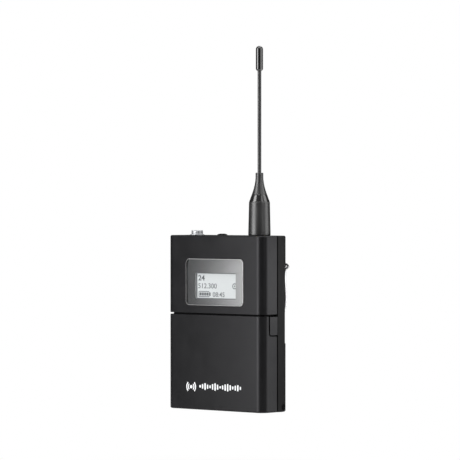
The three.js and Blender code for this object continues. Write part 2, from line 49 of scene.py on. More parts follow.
# ---------------------------------------------------------------- node trees
def add(tree, kind, inputs=None, **props):
    """A shader node; an input given as a node takes that node's first output."""
    made = tree.nodes.new("ShaderNode" + kind)
    for key, value in props.items():
        setattr(made, key, value)
    for key, value in (inputs or {}).items():
        if isinstance(value, bpy.types.Node):
            value = value.outputs[0]
        if isinstance(value, bpy.types.NodeSocket):
            tree.links.new(value, made.inputs[key])
        elif made.inputs[key].type == "RGBA" and len(value) == 3:
            made.inputs[key].default_value = (*value, 1.0)
        else:
            made.inputs[key].default_value = value
    return made


def start(name):
    """A new material with an empty node tree."""
    mat = bpy.data.materials.new(name)
    mat.use_nodes = True
    mat.node_tree.nodes.clear()
    return mat, mat.node_tree


def done(tree, surface):
    add(tree, "OutputMaterial", {"Surface": surface})


def millimetres(tree, stretch=(1, 1, 1), turn=(0, 0, 0)):
    """The object's own coordinates in millimetres."""
    place = add(tree, "TexCoord").outputs["Object"]
    scale = [s / MM for s in stretch]
    return add(tree, "Mapping", {"Vector": place, "Scale": scale, "Rotation": turn})


def remap(tree, value, low, high, to_low, to_high, smooth=False):
    kind = "SMOOTHSTEP" if smooth else "LINEAR"
    limits = {"From Min": low, "From Max": high, "To Min": to_low, "To Max": to_high}
    return add(tree, "MapRange", {"Value": value, **limits}, interpolation_type=kind)


def math_node(tree, operation, a, b=0.0):
    made = add(tree, "Math", operation=operation)
    for socket, value in zip(made.inputs, (a, b)):
        if isinstance(value, bpy.types.Node):
            value = value.outputs[0]
        if isinstance(value, bpy.types.NodeSocket):
            tree.links.new(value, socket)
        else:
            socket.default_value = value
    return made


def mix_colour(tree, factor, a, b):
    """The colour output of a mix from a to b."""
    made = add(tree, "Mix", data_type="RGBA")
    for index, value in ((0, factor), (6, a), (7, b)):  # the sockets a colour mix uses
        socket = made.inputs[index]
        if isinstance(value, bpy.types.Node):
            value = value.outputs[0]
        if isinstance(value, bpy.types.NodeSocket):
            tree.links.new(value, socket)
        elif socket.type == "RGBA":
            socket.default_value = (*value[:3], 1.0)
        else:
            socket.default_value = value
    return made.outputs[2]


def shade(colour, amount):
    return tuple(min(1.0, c * amount) for c in colour)


def noise(tree, where, size, detail=3.0, rough=0.55):
    """Noise whose lumps are about size millimetres across."""
    inputs = {"Vector": where, "Scale": 1 / size, "Detail": detail, "Roughness": rough}
    return add(tree, "TexNoise", inputs)


EDGE_COSINE = 0.86  # between the true and the rounded normal, where an edge counts in full


def edges(tree, radius):
    """1 along an edge of the shape, falling to 0 on its flats."""
    rounded = add(tree, "Bevel", {"Radius": radius * MM}, samples=4)
    flat = add(tree, "NewGeometry").outputs["Normal"]
    dot = add(tree, "VectorMath", {0: rounded, 1: flat}, operation="DOT_PRODUCT").outputs["Value"]
    return remap(tree, dot, 1.0, EDGE_COSINE, 0.0, 1.0)


# ---------------------------------------------------------------- finishes
BLOTCH_SIZE = 7.0
SCUFF_SIZE = 1.3
EDGE_RADIUS = 0.35
WORN_LIGHTER = 2.6  # how much lighter a rubbed edge is
WORN_SMOOTHER = 0.12  # and how much less rough
COAT_ROUGH = 0.06


def solid_finish(
    name, colour, rough, metal=0.0, grain=0.16, depth=3.0, mottle=0.1, vary=0.05, wear=0.0, coat=0.0,
    stretch=(1, 1, 1), specular=0.5, sheen=WHITE,
):
    """A moulded, rubbed or plated surface: grain in bump, blotches in colour and gloss, worn edges.

    grain is the size of a bump in millimetres and depth its height in microns; mottle and vary are how
    far the blotches move colour and roughness; wear is how rubbed the edges are, 0 to 1.
    """
    mat, tree = start(name)
    where = millimetres(tree, stretch)
    fine = noise(tree, where, grain)
    broad = noise(tree, millimetres(tree), BLOTCH_SIZE, detail=5.0, rough=0.6)
    base = mix_colour(tree, broad, shade(colour, 1 - mottle), shade(colour, 1 + mottle))
    roughness = remap(tree, broad, 0.25, 0.75, rough - vary, rough + vary)
    if wear:
        edge = edges(tree, EDGE_RADIUS)
        patches = remap(tree, noise(tree, where, SCUFF_SIZE, detail=4.0), 0.4, 0.65, 0.25, 1.0)
        scuffs = math_node(tree, "MULTIPLY", edge, patches)
        worn = math_node(tree, "MULTIPLY", scuffs, wear)
        base = mix_colour(tree, worn, base, shade(colour, WORN_LIGHTER))
        smoother = math_node(tree, "MULTIPLY", scuffs, WORN_SMOOTHER * wear)
        roughness = math_node(tree, "SUBTRACT", roughness, smoother)
    bump = add(tree, "Bump", {"Height": fine, "Distance": depth * MICRON, "Strength": 1.0})
    inputs = {
        "Base Color": base, "Roughness": roughness, "Metallic": metal, "Normal": bump,
        "Specular IOR Level": specular, "Specular Tint": sheen,
        "Coat Weight": coat, "Coat Roughness": COAT_ROUGH,
    }
    done(tree, add(tree, "BsdfPrincipled", inputs))
    return mat


PANE_IOR = 1.26  # low, so that the soft boxes don't wash out the display
PANE_ROUGH, SMEAR_ROUGH = 0.02, 0.08
SMEAR_SIZE = 9.0


def clear_finish(name, tint):
    """Clear moulding: seen through, with a bright skin and a few faint smears."""
    mat, tree = start(name)
    lumps = noise(tree, millimetres(tree), SMEAR_SIZE, detail=4.0, rough=0.6)
    smear = remap(tree, lumps, 0.35, 0.8, PANE_ROUGH, SMEAR_ROUGH)
    gloss = add(tree, "BsdfGlossy", {"Color": WHITE, "Roughness": smear})
    through = add(tree, "BsdfTransparent", {"Color": tint})
    outside = math_node(tree, "SUBTRACT", 1.0, add(tree, "NewGeometry").outputs["Backfacing"])
    amount = math_node(tree, "MULTIPLY", add(tree, "Fresnel", {"IOR": PANE_IOR}), outside)
    done(tree, add(tree, "MixShader", {0: amount, 1: through, 2: gloss}))
    return mat


def board_finish(name):
    """Green solder mask with buried tracks and plated holes."""
    mat, tree = start(name)
    where = millimetres(tree)
    upright = millimetres(tree, turn=(math.pi / 2, 0, 0))
    tracks = add(tree, "TexBrick", {
        "Vector": upright, "Scale": 0.55, "Mortar Size": 0.05, "Brick Width": 2.3, "Row Height": 0.62,
        "Color1": (0.0, 0.0, 0.0), "Color2": (0.0, 0.0, 0.0), "Mortar": WHITE,
    }, offset=0.37, squash=0.7, squash_frequency=3)
    holes = add(tree, "TexVoronoi", {"Vector": where, "Scale": 0.42, "Randomness": 0.9})
    ring = remap(tree, holes, 0.1, 0.13, 1.0, 0.0)
    green = mix_colour(tree, noise(tree, where, 4.0), (0.006, 0.06, 0.026), (0.012, 0.095, 0.04))
    base = mix_colour(tree, tracks, green, (0.03, 0.17, 0.07))
    base = mix_colour(tree, ring, base, (0.55, 0.42, 0.16))
    height = math_node(tree, "ADD", tracks, ring)
    bump = add(tree, "Bump", {"Height": height, "Distance": 20 * MICRON, "Strength": 0.6})
    gloss = remap(tree, noise(tree, where, 1.5), 0.3, 0.7, 0.28, 0.42)
    inputs = {"Base Color": base, "Roughness": gloss, "Metallic": ring, "Normal": bump}
    done(tree, add(tree, "BsdfPrincipled", inputs))
    return mat


def film_finish(name):
    """Amber film with parallel copper tracks along it."""
    mat, tree = start(name)
    where = millimetres(tree)
    wave = add(tree, "TexWave", {"Vector": where, "Scale": 0.55}, bands_direction="X")
    line = remap(tree, wave.outputs["Fac"], 0.55, 0.7, 0.0, 1.0)
    base = mix_colour(tree, line, (0.36, 0.15, 0.03), (0.62, 0.3, 0.1))
    bump = add(tree, "Bump", {"Height": line, "Distance": 10 * MICRON, "Strength": 0.7})
    rough = remap(tree, noise(tree, where, 2.0), 0.3, 0.7, 0.25, 0.4)
    done(tree, add(tree, "BsdfPrincipled", {"Base Color": base, "Roughness": rough, "Normal": bump}))
    return mat


# The mask's run from dark to light is a painted reflection of a soft light across the window.
MASK_REACH = 19  # millimetres from the window's middle to its ends
MASK_CURVE = 1.55  # above 1, so that it stays dark for longer
FLAKE_SIZE, FLAKE_WHITE = 0.12, 0.06


def mask_finish(name, dark, light, metal):
    """Satin grey ink behind the window, with a painted reflection running from dark to light across it.
    """
    mat, tree = start(name)
    where = millimetres(tree)
    flake = noise(tree, where, FLAKE_SIZE, detail=2.0)
    across = add(tree, "SeparateXYZ", {0: where}).outputs["X"]
    share = remap(tree, across, -MASK_REACH, MASK_REACH, 0, 1)
    # painted reflection: the ink colour is mixed from dark to light across the window
    base = mix_colour(tree, math_node(tree, "POWER", share, MASK_CURVE), dark, light)
    base = mix_colour(tree, remap(tree, flake, 0.3, 0.7, 0.0, FLAKE_WHITE), base, WHITE)
    bump = add(tree, "Bump", {"Height": flake, "Distance": MICRON, "Strength": 0.5})
    rough = remap(tree, noise(tree, where, 6.0), 0.3, 0.7, 0.34, 0.37)
    inputs = {"Base Color": base, "Roughness": rough, "Metallic": metal, "Normal": bump}
    done(tree, add(tree, "BsdfPrincipled", inputs))
    return mat


def paper_finish(name, white, dark):
    """Electronic paper: matt, with a fine grain of capsules."""
    mat, tree = start(name)
    where = millimetres(tree)
    grain = add(tree, "TexVoronoi", {"Vector": where, "Scale": 7.0})
    base = mix_colour(tree, grain, white, dark)
    bump = add(tree, "Bump", {"Height": grain, "Distance": 2 * MICRON, "Strength": 0.4})
    done(tree, add(tree, "BsdfPrincipled", {"Base Color": base, "Roughness": 0.75, "Normal": bump}))
    return mat


CELL_SPLIT = 17.7  # the height between the two cells, which lie opposite ways round
BLACK_END, GOLD_LINE, GOLD_HALF = 9.0, 9.6, 0.35  # along a cell, from the middle of the pack


def cell_finish(name):
    """Foil wrap on a cell: deep green with a black end and a gold line between."""
    mat, tree = start(name)
    where = millimetres(tree)
    along = add(tree, "SeparateXYZ", {0: where}).outputs["X"]
    lower = math_node(tree, "LESS_THAN", add(tree, "SeparateXYZ", {0: where}).outputs["Z"], CELL_SPLIT)
    sign = math_node(tree, "SUBTRACT", math_node(tree, "MULTIPLY", lower, 2.0), 1.0)
    place = math_node(tree, "MULTIPLY", along, sign)
    black = math_node(tree, "LESS_THAN", place, BLACK_END)
    off_line = math_node(tree, "ABSOLUTE", math_node(tree, "SUBTRACT", place, GOLD_LINE))
    line = math_node(tree, "LESS_THAN", off_line, GOLD_HALF)
    foil = mix_colour(tree, noise(tree, where, 5.0), (0.018, 0.15, 0.075), (0.03, 0.21, 0.11))
    base = mix_colour(tree, black, foil, (0.012, 0.013, 0.014))
    base = mix_colour(tree, line, base, (0.62, 0.5, 0.24))
    ripple = noise(tree, millimetres(tree, stretch=(1, 0.3, 0.3)), 0.6, detail=4.0)
    bump = add(tree, "Bump", {"Height": ripple, "Distance": 6 * MICRON, "Strength": 0.6})
    rough = remap(tree, noise(tree, where, 3.0), 0.3, 0.7, 0.2, 0.34)
    inputs = {
        "Base Color": base, "Roughness": rough, "Metallic": 0.45, "Normal": bump, "Coat Weight": 0.4,
    }
    done(tree, add(tree, "BsdfPrincipled", inputs))
    return mat


CASE_SHEEN = (0.965, 0.95, 1.0)

# One finish for each material name of the CAD nodes.
FINISH = {
    "case_black": solid_finish(
        "case_black_moulded", (0.0075, 0.0076, 0.008), 0.34,
        grain=0.17, depth=2.6, mottle=0.14, wear=0.4, specular=0.245, sheen=CASE_SHEEN,
    ),
    # The frame plastic is painted darker and duller than the case plastic: painted shade in the seam
    # groove, where the frame shows between the shells.
    "frame_black": solid_finish(
        "frame_black_painted_shade", (0.0025, 0.0025, 0.0027), 0.62,
        grain=0.25, depth=5, mottle=0.2, specular=0.06,
    ),
    "rubber_black": solid_finish(
        "rubber_black_moulded", (0.0075, 0.0075, 0.0076), 0.375,
        grain=0.1, depth=1.5, mottle=0.18, vary=0.04, specular=1.0,
    ),
    "gloss_black": solid_finish(
        "gloss_black_moulded", (0.0015, 0.0015, 0.0016), 0.13,
        grain=0.5, depth=0.25, mottle=0.2, vary=0.02, specular=0.6, coat=0.7,
    ),
    # The mask's dark-to-light run across the window is a painted reflection.
    "mask_grey": mask_finish("mask_grey_painted_reflection", (0.027, 0.0268, 0.0265), (0.356, 0.35, 0.345), 0.12),
    "lens_clear": clear_finish("lens_clear_moulded", (0.96, 0.965, 0.97)),
    "paper_white": paper_finish("paper_edge", (0.5, 0.52, 0.53), (0.44, 0.46, 0.47)),
    "film_amber": film_finish("film_amber_tracks"),
    "board_green": board_finish("board_green_mask"),
    "tinned": solid_finish(
        "tinned_plate", (0.62, 0.63, 0.65), 0.3, 1.0,
        grain=0.35, depth=2, mottle=0.1, stretch=(1, 1, 0.2),
    ),
    "steel": solid_finish(
        "steel_drawn", (0.56, 0.565, 0.575), 0.24, 1.0,
        grain=0.22, depth=1.5, mottle=0.12, stretch=(1, 1, 0.15),
    ),
    "chrome": solid_finish(
        "chrome_plate", (0.56, 0.57, 0.585), 0.56, 1.0, grain=0.6, depth=0.2, mottle=0.05, vary=0.02,
    ),
    "gold": solid_finish("gold_plate", (0.85, 0.6, 0.26), 0.24, 1.0, grain=0.3, depth=1.0, mottle=0.08),
    "brass": solid_finish(
        "brass_turned", (0.66, 0.47, 0.2), 0.28, 1.0,
        grain=0.12, depth=1.5, mottle=0.12, stretch=(0.3, 0.3, 3),
    ),
    "white_plastic": solid_finish(
        "white_plastic_moulded", (0.78, 0.77, 0.73), 0.45, grain=0.3, depth=1.5, mottle=0.05,
    ),
    "button_grey": solid_finish(
        "button_grey_moulded", (0.06, 0.062, 0.066), 0.55, grain=0.13, depth=3, mottle=0.12, wear=0.4,
    ),
    "cell_wrap": cell_finish("cell_wrap_foil"),
}
# The rear shell's plastic is a darker, duller copy of the case plastic: painted shade, for the rear strip
# that lies darker in the light.
REAR_BLACK_SHADED = solid_finish(
    "case_black_rear_shaded", (0.0066, 0.0066, 0.0068), 0.55,
    grain=0.17, depth=3.2, mottle=0.16, wear=0.6, specular=0.15,
)
WHIP = solid_finish(
    "whip_black_sleeve", (0.009, 0.009, 0.0091), 0.4,
    grain=0.25, depth=0.6, mottle=0.08, vary=0.02, specular=0.85,
)
RING = solid_finish(
    "ring_black_gloss", (0.0012, 0.0012, 0.0013), 0.2,
    grain=0.5, depth=0.25, mottle=0.2, vary=0.02, specular=1.0, coat=0.25,
)
TIP = solid_finish(
    "tip_black_gloss", (0.0015, 0.0015, 0.0016), 0.13,
    grain=0.5, depth=0.25, mottle=0.2, vary=0.02, specular=0.9, coat=0.8,
)
WIRE = solid_finish(
    "wire_bright_nickel", (0.88, 0.88, 0.885), 0.42, 0.9,
    grain=0.22, depth=1.0, mottle=0.05, stretch=(1, 1, 0.15),
)
INK_WHITE = solid_finish("ink_white", (0.86, 0.87, 0.88), 0.5, grain=0.08, depth=1.5, mottle=0.04)
INK_GREY = solid_finish("ink_grey", (0.28, 0.29, 0.3), 0.55, grain=0.08, depth=1.5, mottle=0.06)
INK_PAPER = solid_finish("ink_paper_dark", (0.12, 0.125, 0.13), 0.7, grain=0.1, depth=1.0, mottle=0.12)
PAPER = paper_finish("paper_white_area", (0.664, 0.678, 0.668), (0.597, 0.609, 0.604))
# The pane's rim is painted lighter than the mask behind it: painted light where the lamps leave its inner
# wall dark, with the mask's painted reflection across it.
RIM_PAINTED_LIGHT = mask_finish("window_rim_painted_light", (0.29, 0.29, 0.29), (0.5, 0.5, 0.5), 0.0)
SURROUND = solid_finish("display_surround_grey", (0.85, 0.85, 0.85), 0.5, grain=0.1, depth=2, mottle=0.06)

for node in NODES.values():
    node.data.materials[0] = FINISH[node.data.materials[0].name.split(".")[0]]


# ---------------------------------------------------------------- mesh building
def front(a, b, h):
    """Puts an outline on a plane across Y, its heights running back."""
    return (a, h, b)


def back(a, b, h):
    """The same with its heights running forward, for the back face."""
    return (a, -h, b)


def centre_axis(x, y=0.0):
    """Puts a turned (radius, angle, height) upright about x, y."""
    return lambda r, a, h: (x + r * math.cos(a), y + r * math.sin(a), h)


def side_axis(y, z, side, begin=0.0):
    """The same lying along X, its height running from begin towards one side."""
    return lambda r, a, h: (side * (begin + h), y + r * math.cos(a), z + r * math.sin(a))


def finished(name, bm, slot, body, replaces=(), mat=None, smooth=32, extra=()):
    """Makes a bmesh in millimetres a piece in metres that rides body.

    It stands in for the CAD nodes in replaces. Edges of over smooth degrees stay sharp. extra holds the
    materials of its further slots.
    """
    bmesh.ops.recalc_face_normals(bm, faces=bm.faces)
    bmesh.ops.scale(bm, vec=(MM, MM, MM), verts=bm.verts)
    mesh = bpy.data.meshes.new(name)
    bm.to_mesh(mesh)
    bm.free()
    for made in (mat or FINISH[slot], *extra):
        mesh.materials.append(made)
    mesh.shade_smooth()
    mesh.set_sharp_from_angle(angle=math.radians(smooth))
    piece = bpy.data.objects.new(name, mesh)
    bpy.context.scene.collection.objects.link(piece)
    weighted = piece.modifiers.new("even_normals", "WEIGHTED_NORMAL")
    weighted.keep_sharp = True
    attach(piece, body)
    if replaces:
        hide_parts(*replaces)


def arc(cx, cy, r, a0, a1, steps):
    return [
        (cx + r * math.cos(a0 + (a1 - a0) * i / steps), cy + r * math.sin(a0 + (a1 - a0) * i / steps))
        for i in range(steps + 1)
    ]


def circle(x, y, r, steps=40):
    return arc(x, y, r, 0, 2 * math.pi, steps)[:-1]


def rounded_rect(x, y, width, height, radius, steps=8):
    hw, hh, quarter = width / 2 - radius, height / 2 - radius, math.pi / 2
    points = []
    for i, (sx, sy) in enumerate(((1, -1), (1, 1), (-1, 1), (-1, -1))):
        points += arc(x + sx * hw, y + sy * hh, radius, (i - 1) * quarter, i * quarter, steps)
    return points


def arc_band(x, z, inner, outer, middle, spread, steps=14):
    """The outline of a bent bar, spread degrees to each side of the angle middle."""
    a0, a1 = middle - math.radians(spread), middle + math.radians(spread)
    return arc(x, z, outer, a0, a1, steps) + arc(x, z, inner, a1, a0, steps)


ON_AXIS = 1e-6
NEARLY_STRAIGHT = math.radians(158)
MOST_CUT = 0.42  # the share of a side that one rounding may take
EASE_STEPS = 3


def eased(profile, radius):
    """A closed profile with its corners rounded off, save on the axis and where it hardly turns."""
    made, count = [], len(profile)
    for i, (r, z) in enumerate(profile):
        here = Vector((r, z))
        before, after = Vector(profile[i - 1]) - here, Vector(profile[(i + 1) % count]) - here
        angle = before.angle(after, math.pi) if before.length and after.length else math.pi
        if r < ON_AXIS or angle > NEARLY_STRAIGHT:
            made.append((r, z))
            continue
        cut = min(radius / math.tan(angle / 2), MOST_CUT * before.length, MOST_CUT * after.length)
        a, b = here + before.normalized() * cut, here + after.normalized() * cut
        for k in range(EASE_STEPS + 1):
            t = k / EASE_STEPS
            p = a * (1 - t) ** 2 + here * 2 * t * (1 - t) + b * t * t
            made.append((p.x, p.y))
    return made


def turned(place, profile, sides=64, ripple=None):
    """Turns a closed (radius, height) profile; ripple(radius, height, angle) may change a radius."""
    bm, rings = bmesh.new(), []
    for r, h in profile:
        if r < ON_AXIS:
            rings.append([bm.verts.new(place(0, 0, h))] * sides)
            continue
        angles = [2 * math.pi * i / sides for i in range(sides)]
        rings.append([bm.verts.new(place(ripple(r, h, a) if ripple else r, a, h)) for a in angles])
    for k, ring in enumerate(rings):
        other = rings[(k + 1) % len(rings)]
        for i in range(sides):
            corners = [ring[i], ring[(i + 1) % sides], other[(i + 1) % sides], other[i]]
            unique = list(dict.fromkeys(corners))
            if len(unique) > 2:
                bm.faces.new(unique)
    return bm


def joined(bm, first, second):
    """Faces between two rings of as many points."""
    count = len(first)
    return [
        bm.faces.new((first[i], first[(i + 1) % count], second[(i + 1) % count], second[i]))
        for i in range(count)
    ]


def prism(bm, outline, low, high, place=front, ease=0.0, rim_index=0):
    """An outline (a, b) extruded from low to high; the rim of its low face may be eased.

    rim_index is the material slot of its sides.
    """
    steps = EASE_STEPS if ease else 0
    loops = [(0.0, high)]
    for k in range(steps + 1):
        t = k / steps * math.pi / 2 if steps else 0
        loops.append((ease * (1 - math.cos(t)), low + ease * (1 - math.sin(t))))
    rings = []
    for inset, h in loops:
        ring = inset_loop(outline, inset) if inset else outline
        rings.append([bm.verts.new(place(a, b, h)) for a, b in ring])
    for first, second in zip(rings, rings[1:]):
        for face in joined(bm, first, second):
            face.material_index = rim_index
    bm.faces.new(rings[0])
    bm.faces.new(rings[-1])
    return bm


LEAST_MITRE = 0.3  # keeps a sharp corner from running far in


def inset_loop(outline, inset):
    """The outline moved inward by inset, corner by corner."""
    count = len(outline)
    area = sum(
        outline[i - 1][0] * outline[i][1] - outline[i][0] * outline[i - 1][1] for i in range(count)
    )
    side = 1 if area > 0 else -1
    made = []
    for i in range(count):
        before, here, after = Vector(outline[i - 1]), Vector(outline[i]), Vector(outline[(i + 1) % count])
        d1, d2 = (here - before).normalized(), (after - here).normalized()
        n1, n2 = Vector((-d1.y, d1.x)) * side, Vector((-d2.y, d2.x)) * side
        bisector = n1 + n2
        if bisector.length < 1e-6:  # the outline turns right back
            bisector = n1
        made.append(here + bisector * (inset / max(LEAST_MITRE, bisector.dot(n1))))
    return [(p.x, p.y) for p in made]


def band(bm, outer, inner, low, high, place=front):
    """A flat frame between two loops of as many points."""
    loops = ((outer, low), (outer, high), (inner, high), (inner, low))
    rings = [[bm.verts.new(place(a, b, h)) for a, b in loop] for loop, h in loops]
    for k in range(4):
        joined(bm, rings[k], rings[(k + 1) % 4])
    return bm


END_EASE = 0.35  # the share of a rod's radius that its ends are eased by


def swept(points, radius, sides):
    """A round rod along a list of points, its ends closed and eased."""
    points = [Vector(p) for p in points]
    end = len(points) - 1
    tangents = [(points[min(i + 1, end)] - points[max(i - 1, 0)]).normalized() for i in range(end + 1)]
    normal = tangents[0].orthogonal().normalized()
    ease = radius * END_EASE
    stations = [
        (points[0], tangents[0], radius - ease),
        (points[0] + tangents[0] * ease, tangents[0], radius),
        *((p, t, radius) for p, t in zip(points[1:end], tangents[1:end])),
        (points[end] - tangents[end] * ease, tangents[end], radius),
        (points[end], tangents[end], radius - ease),
    ]
    bm, rings, last = bmesh.new(), [], tangents[0]
    angles = [2 * math.pi * i / sides for i in range(sides)]
    for p, t, r in stations:
        normal = last.rotation_difference(t) @ normal
        normal = (normal - t * normal.dot(t)).normalized()
        other = t.cross(normal)
        last = t
        rings.append([bm.verts.new(p + (normal * math.cos(a) + other * math.sin(a)) * r) for a in angles])
    for first, second in zip(rings, rings[1:]):
        joined(bm, first, second)
    bm.faces.new(rings[0])
    bm.faces.new(rings[-1])
    return bm


def smooth_path(points, per_span):
    """A centripetal Catmull-Rom curve through the points."""
    points = [Vector(p) for p in points]
    ends = [points[0] * 2 - points[1], *points, points[-1] * 2 - points[-2]]
    made = []
    for i in range(1, len(ends) - 2):
        p0, p1, p2, p3 = ends[i - 1 : i + 3]
        d0, d1, d2 = (max((b - a).length ** 0.5, 1e-4) for a, b in ((p0, p1), (p1, p2), (p2, p3)))
        m1 = ((p1 - p0) / d0 - (p2 - p0) / (d0 + d1) + (p2 - p1) / d1) * d1
        m2 = ((p2 - p1) / d1 - (p3 - p1) / (d1 + d2) + (p3 - p2) / d2) * d1
        for k in range(per_span):
            t = k / per_span
            made.append(
                p1 * (2 * t**3 - 3 * t**2 + 1) + m1 * (t**3 - 2 * t**2 + t)
                + p2 * (-2 * t**3 + 3 * t**2) + m2 * (t**3 - t**2)
            )
    return made + [points[-1]]


WELD = 1e-3
SAME_PLANE = math.radians(0.6)


def cad_copy(node):
    """A CAD node's own shape in millimetres, welded and with its flat faces whole."""
    bm = bmesh.new()
    bm.from_mesh(NODES[node].data)
    bmesh.ops.scale(bm, vec=(1 / MM, 1 / MM, 1 / MM), verts=bm.verts)
    bmesh.ops.remove_doubles(bm, verts=bm.verts, dist=WELD)
    for face in bm.faces:
        face.material_index = 0
    bmesh.ops.dissolve_limit(bm, angle_limit=SAME_PLANE, verts=bm.verts, edges=bm.edges)
    return bm


LEAST_BEND, MOST_BEND = 25, 175  # degrees


def ease_edges(bm, width, chosen, steps=2):
    """Rounds the outward edges that chosen picks."""
    sharp = [
        e for e in bm.edges
        if len(e.link_faces) == 2 and LEAST_BEND < math.degrees(e.calc_face_angle(0)) < MOST_BEND
        and e.is_convex and chosen(e)
    ]
    bmesh.ops.bevel(
        bm, geom=sharp, offset=width, offset_type="OFFSET", segments=steps, profile=0.5,
        affect="EDGES", clamp_overlap=False,
    )
    return bm


def ahead_of(depth):
    """Picks edges that lie wholly in front of a depth."""
    return lambda edge: all(vert.co.y < depth for vert in edge.verts)


THREAD_RUNOUT = 0.3


def threaded(low, high, radius, pitch, depth):
    """A ripple that cuts a helical thread into the wall at radius between two heights."""
    def ripple(r, h, a):
        if abs(r - radius) > 1e-3 or not low < h < high:
            return r
        wave = abs(((h / pitch - a / (2 * math.pi)) % 1) * 2 - 1)
        return r - depth * wave * min(1, (h - low) / THREAD_RUNOUT, (high - h) / THREAD_RUNOUT)
    return ripple


def wall(radius, low, high, step):
    """A profile's upright wall, cut into steps for a ripple to move."""
    count = max(2, round((high - low) / step))
    return [(radius, low + (high - low) * i / count) for i in range(count + 1)]


# ---------------------------------------------------------------- shells
HALF_WIDTH, HALF_DEPTH, CASE_TOP = 31.75, 10, 85
FRONT_CORNER, REAR_CORNER = 4.0, 5.7
NEAR = 0.02  # a point this close to the outside lies on it
SHORT = 0.3  # edges shorter than this are left sharp


def depth_in(p):
    """How far a point lies inside the case's upright walls."""
    radius = FRONT_CORNER if p.y < 0 else REAR_CORNER
    qx, qy = abs(p.x) - (HALF_WIDTH - radius), abs(p.y) - (HALF_DEPTH - radius)
    return radius - math.hypot(max(qx, 0), max(qy, 0)) - min(max(qx, qy), 0)


def on_skin(edge):
    """Whether an edge lies on the case's outside."""
    if edge.calc_length() < SHORT:
        return False
    points = [vert.co for vert in edge.verts]
    return all(depth_in(p) <= NEAR or not NEAR < p.z < CASE_TOP - NEAR for p in points)


EAR_LEVEL, EAR_REACH = 70.3, 3  # height of the clip's ears in the CAD, and how far they reach from it
EAR_DRAWN_LEVEL, EAR_SLIMMING = 70.9, 0.62
EAR_ROOT, EAR_WAIST = 10.05, 11.9  # depths where an ear leaves the back, and from where it is shorter

for node, name, body, skin in (
    ("rear_housing", "rear_shell", "case", REAR_BLACK_SHADED),
    ("front_housing", "front_shell", "case", FINISH["case_black"]),
    ("battery_cover", "cover_shell", "cover", FINISH["case_black"]),
):
    made = cad_copy(node)
    for vert in made.verts:  # only the ears stand behind their root
        if vert.co.y > EAR_ROOT and abs(vert.co.z - EAR_LEVEL) < EAR_REACH:
            vert.co.z = EAR_DRAWN_LEVEL + EAR_SLIMMING * (vert.co.z - EAR_LEVEL)
            vert.co.y = min(vert.co.y, EAR_WAIST) + EAR_SLIMMING * max(vert.co.y - EAR_WAIST, 0)
    finished(name, ease_edges(made, width=0.16, chosen=on_skin), "case_black", body, (node,), skin)

KEY_FRONT = (-5.1, -3.9)  # depths between which a latch key's front edge lies
KEY_FOOT = 37  # its upper part starts here
KEY_FACE = 0.05  # the edges of its outer face are this near to the case's side
KEY_GAP = 0.35  # how much wider than in the CAD the gap before it is drawn
for side in ("left", "right"):
    made = cad_copy("latch_button_" + side)
    for vert in made.verts:
        if KEY_FRONT[0] < vert.co.y < KEY_FRONT[1] and vert.co.z > KEY_FOOT:
            vert.co.y += KEY_GAP
    ease_edges(made, 0.18, lambda edge: all(abs(v.co.x) > HALF_WIDTH - KEY_FACE for v in edge.verts))
    finished("latch_key_" + side, made, "case_black", "latch_" + side, ("latch_button_" + side,))


# ---------------------------------------------------------------- window and display
WINDOW = rounded_rect(0, 62.25, 38.2, 22.7, 2.4)
PANE_FRONT, PANE_BACK = -10.15, -9.25
pane = prism(bmesh.new(), WINDOW, PANE_FRONT, PANE_BACK, ease=0.28, rim_index=1)
finished("window_pane", pane, "lens_clear", "case", ("display_window",), extra=(RIM_PAINTED_LIGHT,))

PANEL = -8.0  # the display panel's front; what is printed on it lies just before it
PAPER_FRONT = PANEL - 0.03
BORDER_FRONT = PANEL - 0.035
NUMERAL_MIDDLE, NUMERAL_HALF = PANEL - 0.045, 0.01
SIGN_FRONT, SIGN_BACK = PANEL - 0.055, PANEL - 0.02
SURROUND_FRONT = -8.95
SCREEN = (0, 60.45)  # the display's middle
surround = band(
    bmesh.new(), rounded_rect(*SCREEN, 33.6, 19.2, 0.8), rounded_rect(*SCREEN, 27.4, 12.9, 0.3),
    SURROUND_FRONT, PAPER_FRONT,
)
finished("display_surround", surround, "rubber_black", "case", ("display_foam",), mat=SURROUND)
paper = prism(bmesh.new(), rounded_rect(*SCREEN, 26.3, 11.9, 0.1, 1), PAPER_FRONT, PANEL)
finished("display_paper_area", paper, "paper_white", "case", mat=PAPER)
border = band(
    bmesh.new(), rounded_rect(*SCREEN, 27.1, 12.7, 0.1, 1), rounded_rect(*SCREEN, 26.36, 11.96, 0.1, 1),
    BORDER_FRONT, PANEL,
)
finished("display_border_line", border, "paper_white", "case", mat=INK_PAPER)


def numerals(name, text, left, low, width, height, weight):
    """Plain numerals on the paper, fitted to a box."""
    curve = bpy.data.curves.new(name + "_curve", "FONT")
    curve.body, curve.extrude, curve.offset, curve.resolution_u = text, NUMERAL_HALF, weight, 3
    carrier = bpy.data.objects.new(name + "_carrier", curve)
    bpy.context.scene.collection.objects.link(carrier)
    mesh = bpy.data.meshes.new_from_object(carrier.evaluated_get(bpy.context.evaluated_depsgraph_get()))
    bpy.data.objects.remove(carrier)
    bm = bmesh.new()
    bm.from_mesh(mesh)
    bpy.data.meshes.remove(mesh)
    bmesh.ops.remove_doubles(bm, verts=bm.verts, dist=1e-5)
    xs, ys = [v.co.x for v in bm.verts], [v.co.y for v in bm.verts]
    for v in bm.verts:
        a = left + (v.co.x - min(xs)) / (max(xs) - min(xs)) * width
        b = low + (v.co.y - min(ys)) / (max(ys) - min(ys)) * height
        v.co = (a, NUMERAL_MIDDLE - v.co.z, b)
    finished(name, bm, "paper_white", "case", mat=INK_PAPER, smooth=20)


numerals("display_channel", "24", -12.5, 62.95, 4.4, 2.65, 0.025)
numerals("display_frequency", "512.300", -12.5, 59.15, 12.4, 2.5, 0.008)
numerals("display_clock", "08:45", -2.8, 55.1, 7.9, 2.35, 0.008)

